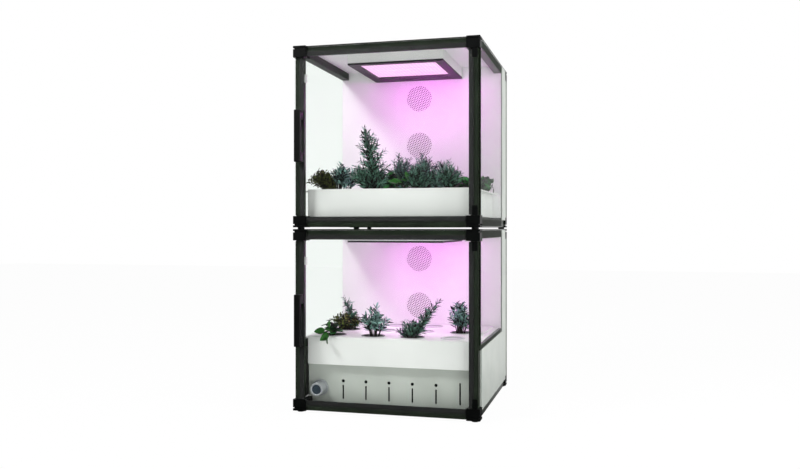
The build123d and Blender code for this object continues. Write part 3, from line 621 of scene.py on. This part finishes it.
opal_plate = glowing("opal_diffuser_plate", PLATE_GLOW)
diode_lens = glowing("diode_lens", DIODE_GLOW)
chip_rings = ((DIODE_SIZE / 2, 0.0), (DIODE_TIP / 2, -DIODE_HEIGHT))
chip = loose_part("diode", [(x * half, y * half, z) for half, z in chip_rings for x, y in CORNERS],
                  [(0, 1, 2, 3), (4, 7, 6, 5), (0, 4, 5, 1), (1, 5, 6, 2), (2, 6, 7, 3), (3, 7, 4, 0)])
for level in LEVELS:
    eased(f"{level}_lamp_housing", lamp_white, LAMP_EDGE)
    eased(f"{level}_lamp_bezel", bezel_grey, BEZEL_EDGE)
    dress(opal_plate, f"{level}_led_panel")
    low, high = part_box(f"{level}_led_panel")
    across = int((high[0] - low[0] - DIODE_PITCH) / DIODE_PITCH)
    along = int((high[1] - low[1] - DIODE_PITCH) / DIODE_PITCH)
    middle_x, middle_y = (low[0] + high[0]) / 2, (low[1] + high[1]) / 2
    points = bpy.data.meshes.new(f"{level}_diode_points")
    points.from_pydata([(middle_x + (i - across / 2) * DIODE_PITCH,
                         middle_y + (k - along / 2) * DIODE_PITCH, low[2])
                        for i in range(across + 1) for k in range(along + 1)], [], [])
    diodes = grown(f"{level}_diodes", points, repeat_on_points, Part=chip, Finish=diode_lens)
    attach(diodes, "cabinet")
    soft_box(f"{level}_deck_light", (middle_x, middle_y, low[2] - DECK_LIGHT_DROP),
             (middle_x, middle_y, low[2] - 1.0), (high[0] - low[0], high[1] - low[1]),
             DECK_WATTS[level], DECK_LIGHT, DECK_LIGHT_SPREAD)
    soft_box(f"{level}_wall_light", (WALL_LIGHT_X, high[1] - WALL_LIGHT_FORWARD, low[2] - WALL_LIGHT_DROP),
             (WALL_AIM_X, WALL_AIM_Y, low[2] - WALL_AIM_DROP), WALL_LIGHT_SIZE, WALL_WATTS[level], PINK_LIGHT)
discard(chip)

# Fans: black glass-filled nylon frames screwed behind the vents, each with a seven-blade impeller on its own
# shaft. The moulding is dull and fine in grain, and shows only as dark behind the holes.
fan_black = coated("moulded_fan_black", "#0C0C0E", "#141417", 0.5, patch_mm=30, peel_mm=1.5)
dress(fan_black, "fan_frames")
for level in LEVELS:
    dress(fan_black, f"{level}_fan_low", f"{level}_fan_high")

# Trays and decks: white moulded plastic with soft edges and a satin shine; a deck rests on its tray and lifts
# off. Cups and caps: grey moulded plastic, duller and finer in grain, dropped into the round planting sites.
TRAY_EDGE = 1.4 * MM
DECK_EDGE = 1.0 * MM
tray_white = coated("moulded_tray_white", "#ECEEEB", "#F2F4F1", 0.3, patch_mm=160, peel_mm=3.0)
cup_grey = coated("moulded_cup_grey", "#8C8C8E", "#9C9C9E", 0.5, patch_mm=25, peel_mm=1.0)
for level in LEVELS:
    eased(f"{level}_tray", tray_white, TRAY_EDGE)
    eased(f"{level}_deck", tray_white, DECK_EDGE)
    dress(cup_grey, f"{level}_net_cups")
dress(coated("moulded_cap_grey", "#C2C2C4", "#CECED0", 0.45, patch_mm=40, peel_mm=1.0), "site_caps")

# Plants: living herbs rooted in brown sponge plugs in the cups. Stems grow up and lean out from each plug,
# and leaves stand round the stems in a spiral, smaller towards the tip. Leaves are soft and hardly shine,
# each in its own tone, over woody stems. All of it lifts off with its deck.
SITE_X = (-0.1965, -0.0655, 0.0655, 0.1965)
SITE_Y = (-0.188, -0.039, 0.110)
DECK_TOP = {"lower": 0.2375, "upper": 0.710}
SPIRAL_TURN = math.radians(137.5)
STEM_SIDES = 5
STEM_TIP_SHARE = 0.35
STEM_TONE, LEAF_TONE = 0.14, 0.45
MOTTLE_SHARE = 0.12
VEIN_DEPTH = 0.6 * MM
LEAF_IOR = 1.3
ROOT_SINK = 3 * MM
ROOT_REACH = 16.0
ROOT_SHIFT = 12.0
LEAF_ROOM = 7
SHORTEST_STEM = 11
TRUNK_STEPS = 11
ARCH_RISE = 45 * MM


def leaf_part(name, width, fold, curl, thickness, rows):
    """Leaf of unit length along Z: a thin lens folded along its rib and curled back, pointed at both ends."""
    verts, faces = [(0.0, 0.0, 0.0)], []
    for row in range(1, rows):
        u = row / rows
        half = 0.5 * width * math.sin(math.pi * u ** 0.8) ** 0.8
        back = curl * u * u
        rib = back + 2 * fold * half
        verts += [(back, -half, u), (rib - thickness / 2, 0.0, u),
                  (back, half, u), (rib + thickness / 2, 0.0, u)]
    verts.append((curl, 0.0, 1.0))
    tip = len(verts) - 1
    for side in range(4):
        after = (side + 1) % 4
        faces.append((0, 1 + after, 1 + side))
        for row in range(rows - 2):
            ring = 1 + 4 * row
            faces.append((ring + side, ring + after, ring + 4 + after, ring + 4 + side))
        faces.append((tip - 4 + side, tip - 4 + after, tip))
    part = loose_part(name, verts, faces)
    part.data.shade_smooth()
    return part


def leafy_tree():
    """Geometry Nodes tree that turns stem lines into tapered stems with leaves set round them in a spiral."""
    tree, given = open_tree("leafy_stems", (
        ("Stems", "Geometry"), ("Leaf", "Object"), ("Leaf Spacing", "Float"), ("Leaf Size", "Float"),
        ("Tip Share", "Float"), ("Lift", "Float"), ("Bare Share", "Float"), ("Stem Radius", "Float"),
        ("Seed", "Int"), ("Finish", "Material")))
    lines = add_node(tree, "GeometryNodeMeshToCurve", links={"Mesh": given.outputs["Stems"]})
    along = add_node(tree, "GeometryNodeSplineParameter")
    kept = tree.nodes.new("GeometryNodeCaptureAttribute")
    kept.capture_items.new("FLOAT", "Along")
    tree.links.new(lines.outputs["Curve"], kept.inputs["Geometry"])
    tree.links.new(along.outputs["Factor"], kept.inputs["Along"])
    share = kept.outputs["Along"]
    points = add_node(tree, "GeometryNodeCurveToPoints", mode="LENGTH", links={
        "Curve": kept.outputs["Geometry"], "Length": given.outputs["Leaf Spacing"]})

    def varied(low, high, offset):
        """Value between two ends that differs from leaf to leaf, from a seed of its own."""
        made = add_node(tree, "FunctionNodeRandomValue", data_type="FLOAT")
        made.inputs[2].default_value, made.inputs[3].default_value = low, high
        seed = add_node(tree, "ShaderNodeMath", operation="ADD", links={0: given.outputs["Seed"]})
        seed.inputs[1].default_value = offset
        tree.links.new(seed.outputs[0], made.inputs["Seed"])
        return made.outputs[1]

    upright = add_node(tree, "FunctionNodeAlignRotationToVector", axis="Z",
                       links={"Vector": points.outputs["Tangent"]})
    number = add_node(tree, "GeometryNodeInputIndex")
    spiral = add_node(tree, "ShaderNodeMath", operation="MULTIPLY_ADD",
                      links={0: number.outputs[0], 2: varied(-0.5, 0.5, 1)})
    spiral.inputs[1].default_value = SPIRAL_TURN
    around = add_node(tree, "ShaderNodeCombineXYZ", links={"Z": spiral.outputs[0]})
    lift = add_node(tree, "ShaderNodeMath", operation="ADD",
                    links={0: given.outputs["Lift"], 1: varied(-0.3, 0.3, 2)})
    outward = add_node(tree, "ShaderNodeCombineXYZ", links={"Y": lift.outputs[0]})
    turned = upright.outputs["Rotation"]
    for step in (around, outward):
        angle = add_node(tree, "FunctionNodeEulerToRotation", links={"Euler": step.outputs[0]})
        local = add_node(tree, "FunctionNodeRotateRotation", rotation_space="LOCAL",
                         links={"Rotation": turned, "Rotate By": angle.outputs[0]})
        turned = local.outputs["Rotation"]
    taper = add_node(tree, "ShaderNodeMapRange", To_Min=1.0,
                     links={"Value": share, "To Max": given.outputs["Tip Share"]})
    uneven = add_node(tree, "ShaderNodeMath", operation="MULTIPLY",
                      links={0: taper.outputs["Result"], 1: varied(0.75, 1.15, 3)})
    size = add_node(tree, "ShaderNodeMath", operation="MULTIPLY",
                    links={0: uneven.outputs[0], 1: given.outputs["Leaf Size"]})
    leafy = add_node(tree, "ShaderNodeMath", operation="GREATER_THAN",
                     links={0: share, 1: given.outputs["Bare Share"]})
    leaf = add_node(tree, "GeometryNodeObjectInfo", links={"Object": given.outputs["Leaf"]})
    leaves = add_node(tree, "GeometryNodeInstanceOnPoints", links={
        "Points": points.outputs["Points"], "Selection": leafy.outputs[0],
        "Instance": leaf.outputs["Geometry"], "Rotation": turned, "Scale": size.outputs[0]})
    toned = add_node(tree, "GeometryNodeStoreNamedAttribute", data_type="FLOAT", domain="INSTANCE",
                     Name="tone",
                     links={"Geometry": leaves.outputs["Instances"], "Value": varied(0.25, 1.0, 4)})
    thinning = add_node(tree, "ShaderNodeMapRange", links={"Value": share}, To_Min=1.0, To_Max=STEM_TIP_SHARE)
    radius = add_node(tree, "ShaderNodeMath", operation="MULTIPLY",
                      links={0: thinning.outputs["Result"], 1: given.outputs["Stem Radius"]})
    ring = add_node(tree, "GeometryNodeCurvePrimitiveCircle", Resolution=STEM_SIDES, Radius=1.0)
    stems = add_node(tree, "GeometryNodeCurveToMesh", Fill_Caps=True, links={
        "Curve": kept.outputs["Geometry"], "Profile Curve": ring.outputs["Curve"],
        "Scale": radius.outputs[0]})
    woody = add_node(tree, "GeometryNodeStoreNamedAttribute", data_type="FLOAT", domain="POINT",
                     Name="tone", links={"Geometry": stems.outputs["Mesh"]})
    both = add_node(tree, "GeometryNodeJoinGeometry")
    tree.links.new(woody.outputs["Geometry"], both.inputs["Geometry"])
    tree.links.new(toned.outputs["Geometry"], both.inputs["Geometry"])
    return close_tree(tree, given, both.outputs["Geometry"])


def living(name, stem, dark, light, roughness):
    """Leaf and stem surface: woody at the stems, each leaf its own tone, with a soft relief of veins."""
    made, tree, shader = new_finish(name)
    place = add_node(tree, "ShaderNodeTexCoord").outputs["Object"]
    tone = add_node(tree, "ShaderNodeAttribute", attribute_name="tone")
    mottle = add_node(tree, "ShaderNodeTexNoise", links={"Vector": place},
                      Scale=1.0 / (7 * MM), Detail=2.0)
    mixed = add_node(tree, "ShaderNodeMath", operation="MULTIPLY_ADD",
                     links={0: mottle.outputs["Fac"], 2: tone.outputs["Fac"]})
    mixed.inputs[1].default_value = MOTTLE_SHARE
    colour = add_node(tree, "ShaderNodeValToRGB", links={"Fac": mixed.outputs[0]})
    ramp = colour.color_ramp.elements
    ramp[0].position, ramp[0].color = STEM_TONE, linear(stem)
    ramp[1].position, ramp[1].color = 1.0, linear(light)
    start = ramp.new(LEAF_TONE)
    start.color = linear(dark)
    relief = add_node(tree, "ShaderNodeBump", links={"Height": mottle.outputs["Fac"]},
                      Strength=0.5, Distance=VEIN_DEPTH)
    tree.links.new(colour.outputs["Color"], shader.inputs["Base Color"])
    tree.links.new(relief.outputs["Normal"], shader.inputs["Normal"])
    shader.inputs["Roughness"].default_value = roughness
    shader.inputs["IOR"].default_value = LEAF_IOR
    return made


leafy_stems = leafy_tree()
needle = leaf_part("needle_leaf", 0.23, 0.22, 0.18, 0.05, 4)
oblong = leaf_part("oblong_leaf", 0.33, 0.20, 0.16, 0.04, 4)
little = leaf_part("little_leaf", 0.62, 0.15, 0.10, 0.06, 3)
ovate = leaf_part("ovate_leaf", 0.66, 0.16, 0.30, 0.03, 6)
HERBS = {
    "rosemary": dict(Leaf=needle, Leaf_Spacing=3.0 * MM, Leaf_Size=34 * MM, Tip_Share=0.42, Lift=0.70,
                     Bare_Share=0.06, Stem_Radius=1.3 * MM, Seed=11,
                     Finish=living("rosemary_leaf", "#201812", "#040C08", "#6A9A84", 0.6)),
    "sage": dict(Leaf=oblong, Leaf_Spacing=3.0 * MM, Leaf_Size=28 * MM, Tip_Share=0.7, Lift=0.80,
                 Bare_Share=0.28, Stem_Radius=1.8 * MM, Seed=12,
                 Finish=living("sage_leaf", "#1D1A15", "#061413", "#94C4B8", 0.6)),
    "thyme": dict(Leaf=little, Leaf_Spacing=3.0 * MM, Leaf_Size=14 * MM, Tip_Share=0.8, Lift=1.05,
                  Bare_Share=0.12, Stem_Radius=0.8 * MM, Seed=13,
                  Finish=living("thyme_leaf", "#2A1C10", "#0E0E04", "#6C7838", 0.6)),
    "basil": dict(Leaf=ovate, Leaf_Spacing=7 * MM, Leaf_Size=44 * MM, Tip_Share=0.6, Lift=1.15,
                  Bare_Share=0.2, Stem_Radius=1.6 * MM, Seed=14,
                  Finish=living("basil_leaf", "#1B3015", "#03140A", "#2C7034", 0.4)),
    "chard": dict(Leaf=ovate, Leaf_Spacing=14 * MM, Leaf_Size=46 * MM, Tip_Share=0.8, Lift=0.35,
                  Bare_Share=0.5, Stem_Radius=1.6 * MM, Seed=15,
                  Finish=living("chard_leaf", "#2C4A1C", "#1F5A1C", "#4C9A3C", 0.4)),
}
# Bushes: row and column of the site, herb, number of stems, then height, spread and lean in mm.
BED = {
    "lower": [
        (0, 0, "basil", 7, 60, 24, (-4, -6)), (1, 0, "thyme", 50, 70, 56, (-8, 0)),
        (0, 1, "sage", 14, 106, 50, (4, 0)), (0, 2, "rosemary", 14, 70, 42, (-6, 0)),
        (1, 3, "sage", 15, 114, 48, (-4, 0)),
    ],
    "upper": [
        (0, 0, "thyme", 66, 76, 42, (-46, -4)), (0, 0, "sage", 15, 98, 28, (16, 8)),
        (1, 0, "sage", 10, 96, 34, (-6, 0)), (0, 1, "rosemary", 26, 98, 42, (-42, 4)),
        (0, 1, "rosemary", 10, 90, 34, (26, 0)), (1, 1, "basil", 12, 90, 42, (18, -16)),
        (1, 1, "rosemary", 14, 104, 46, (-36, 0)), (2, 1, "rosemary", 30, 160, 54, (22, 0)),
        (0, 2, "chard", 5, 46, 32, (-16, -8)), (0, 2, "rosemary", 16, 98, 42, (20, 0)),
        (1, 2, "rosemary", 28, 146, 50, (0, 0)), (2, 2, "rosemary", 14, 130, 46, (10, 0)),
        (0, 3, "rosemary", 17, 106, 46, (-18, 0)), (1, 3, "rosemary", 8, 96, 38, (-36, 0)),
        (1, 3, "basil", 9, 52, 46, (10, -12)), (2, 3, "basil", 10, 62, 50, (30, -30)),
    ],
}
# Long sprigs: row and column of the site, herb, root and tip from its middle in mm, branches and their reach.
SPRIGS = {
    "lower": [
        (1, 0, "rosemary", (26, 0), (-20, 0, 112), 9, 30),
        (1, 0, "rosemary", (20, 4), (-14, 4, 96), 7, 24),
        (0, 2, "rosemary", (6, 0), (90, 0, 122), 10, 30),
        (0, 2, "rosemary", (10, 4), (80, 6, 104), 8, 26),
        (0, 0, "chard", (6, -14), (2, -82, 8), 0, 0),
        (0, 0, "chard", (2, -10), (-16, -48, 24), 0, 0),
    ],
    "upper": [
        (0, 1, "rosemary", (6, 0), (-30, 0, 203), 24, 88),
        (2, 3, "basil", (10, 0), (77, -16, 36), 3, 30),
        (2, 3, "basil", (10, 8), (77, 32, 20), 3, 30),
        (2, 3, "basil", (10, -8), (75, -64, 42), 3, 30),
        (1, 3, "basil", (12, 0), (58, 24, 14), 3, 26),
        (2, 3, "basil", (12, 6), (60, -38, 12), 3, 26),
        (2, 3, "basil", (12, 8), (58, 48, 10), 3, 24),
    ],
}


def bent_stem(root, tip, count=7, lean_share=0.2, arch=0.0):
    """Points of a stem that leaves its root nearly upright and leans over to its tip, or arches above it."""
    elbow = Vector((root.x + lean_share * (tip.x - root.x), root.y + lean_share * (tip.y - root.y),
                    root.z + 0.6 * (tip.z - root.z) + arch))
    steps = [k / (count - 1) for k in range(count)]
    return [root * (1 - t) ** 2 + elbow * 2 * t * (1 - t) + tip * t ** 2 for t in steps]


def stem_lines(name, lines):
    """Mesh of edges only, one chain for each stem."""
    verts = [point for line in lines for point in line]
    edges, start = [], 0
    for line in lines:
        edges += [(start + k, start + k + 1) for k in range(len(line) - 1)]
        start += len(line)
    mesh = bpy.data.meshes.new(name)
    mesh.from_pydata(verts, edges, [])
    return mesh


def bush(rng, middle, count, height, spread, lean):
    """Stems of one plant: roots in its plug, tips spread round a leaning middle, the middle ones tallest."""
    lines = []
    grip = min(0.4 * spread, ROOT_REACH)
    shift = [max(-ROOT_SHIFT, min(ROOT_SHIFT, share)) for share in lean]
    for k in range(count):
        turn = k * SPIRAL_TURN + rng.uniform(-0.4, 0.4)
        out = math.sqrt((k + 0.3) / count) * rng.uniform(0.85, 1.1)
        rise = height * (1.0 - 0.4 * min(out, 1.0) ** 2) * rng.uniform(0.74, 1.0)
        across = Vector((math.cos(turn), math.sin(turn), 0.0)) * out * MM
        root = middle + grip * across + Vector((*shift, 0.0)) * MM
        tip = middle + spread * across + Vector((*lean, max(rise - LEAF_ROOM, SHORTEST_STEM))) * MM
        lines.append(bent_stem(root, tip))
    return lines


def sprig(rng, root, tip, branches, reach):
    """One long stem with side branches that shorten towards its tip."""
    trunk = bent_stem(root, tip, TRUNK_STEPS + 1, 0.45, max(0.0, 0.9 * (ARCH_RISE - (tip.z - root.z))))
    lines = [trunk]
    for k in range(branches):
        share = 0.10 + 0.74 * k / branches
        step = int(share * TRUNK_STEPS)
        start = trunk[step].lerp(trunk[step + 1], share * TRUNK_STEPS % 1.0)
        turn = k * SPIRAL_TURN + rng.uniform(-0.3, 0.3)
        length = reach * (1.0 - 0.9 * share) * rng.uniform(0.8, 1.1)
        end = start + Vector((0.7 * length * math.cos(turn), 0.7 * length * math.sin(turn),
                              0.75 * length))
        lines.append(bent_stem(start, end, 5))
    return lines


for level in LEVELS:
    rng = random.Random(f"{level} bed")
    stems = {herb: [] for herb in HERBS}
    for row, column, herb, count, height, spread, lean in BED[level]:
        middle = Vector((SITE_X[column], SITE_Y[row], DECK_TOP[level] - ROOT_SINK))
        stems[herb] += bush(rng, middle, count, height, spread, lean)
    for row, column, herb, start, end, branches, reach in SPRIGS[level]:
        middle = Vector((SITE_X[column], SITE_Y[row], DECK_TOP[level] - ROOT_SINK))
        root = middle + Vector((*start, 0.0)) * MM
        stems[herb] += sprig(rng, root, middle + Vector(end) * MM, branches, reach * MM)
    for herb, settings in HERBS.items():
        if not stems[herb]:
            continue
        lines = stem_lines(f"{level}_{herb}_stems", stems[herb])
        plant = grown(f"{level}_{herb}", lines, leafy_stems, **settings)
        place_for(plant, f"{level}_plants")
discard(needle, oblong, little, ovate)

# Root plugs: discs of dark brown sponge pressed into the cups a little below their rims. Their tops are open
# and uneven, quite matt, with deep pores.
PLUG_RADIUS = 33 * MM
PLUG_SIDES = 20
PLUG_DEPTH = 20 * MM
PLUG_SINK = 5 * MM
PLUG_UNEVEN = 1.0
sponge = coated("root_sponge", "#1E1712", "#3A2C20", 0.9, patch_mm=6, peel_mm=2.5, peel_depth_mm=1.5)
for level in LEVELS:
    rng = random.Random(f"{level} plugs")
    shape = bmesh.new()
    for row, column in sorted({(plant[0], plant[1]) for plant in BED[level]}):
        made = bmesh.ops.create_circle(shape, cap_ends=True, cap_tris=True, radius=PLUG_RADIUS,
                                       segments=PLUG_SIDES)
        rim = made["verts"]
        body = bmesh.ops.extrude_face_region(shape, geom=list({f for v in rim for f in v.link_faces}))
        lower = [v for v in body["geom"] if isinstance(v, bmesh.types.BMVert)]
        bmesh.ops.translate(shape, verts=lower, vec=(0.0, 0.0, -PLUG_DEPTH))
        for vertex in rim + lower:
            vertex.co.z += rng.uniform(-PLUG_UNEVEN, PLUG_UNEVEN) * MM
            vertex.co += Vector((SITE_X[column], SITE_Y[row], DECK_TOP[level] - PLUG_SINK))
    bmesh.ops.recalc_face_normals(shape, faces=shape.faces)
    mesh = bpy.data.meshes.new(f"{level}_root_plugs")
    shape.to_mesh(mesh)
    shape.free()
    mesh.materials.append(sponge)
    place_for(linked(f"{level}_root_plugs", mesh), f"{level}_plants")

# Doors: clear glass panes that swing on pivot pins in black nylon shoes at the right, against black rubber
# strips round the opening. The black painted bow handles at the left have a low shine, and the small moulded
# catches are white.
HANDLE_EDGE = 1.6 * MM
handle_black = coated("painted_handle_black", "#060706", "#0B0C0B", 0.42, ior=1.35)
for level in LEVELS:
    glazed(f"{level}_door_glass", glass)
    dress(black_nylon, f"{level}_hinge_shoes")
    dress(black_rubber, f"{level}_door_seal")
    eased(f"{level}_door_handle", handle_black, HANDLE_EDGE)
dress(coated("moulded_catch_white", "#E4E4E4", "#EDEDED", 0.4), "door_catches")

# Base: satin pale grey coated panel, set in under the lower tray, with glossy dark tinted sight windows and
# lenses. The drain valve is brushed steel with a soft shine, and its knob has a dark painted face.
PANEL_EDGE = 0.8 * MM
KNOB_EDGE = 0.9 * MM
KNOB_FACE_Y = -0.275
FORWARD = -0.9
panel_grey = coated("coated_panel_grey", "#C2C8C0", "#CCD2CA", 0.42)
eased("control_panel", panel_grey, PANEL_EDGE)
dress(coated("tinted_acrylic", "#0A0C0B", "#101311", 0.15), "level_windows", "status_lights")
steel = coated("brushed_steel", "#C4C8CC", "#CED2D5", 0.34, patch_mm=40, peel_depth_mm=0.006, metallic=0.5)
dress(steel, "valve_body", "power_supply")
knob_face = coated("painted_knob_face", "#2A3640", "#34414C", 0.3, patch_mm=12)
two_toned(eased("valve_knob", steel, KNOB_EDGE), knob_face,
          lambda face: face.normal.y < FORWARD and face.center.y > KNOB_FACE_Y)

# Behind the panel and the walls: blown bottles and tank in milky plastic, black moulded pumps and mains
# inlet, a coated controller box, and a pipe that carries the feed up to the trays. All are dull.
dress(coated("blown_bottle_plastic", "#D9DAD4", "#E2E3DE", 0.45), "nutrient_bottles", "water_tank")
dress(coated("extruded_pipe_grey", "#8E9192", "#9B9E9F", 0.45), "supply_pipe")
dress(fan_black, "dosing_pumps", "circulation_pump", "inlet_socket")
dress(panel_grey, "controller_box")
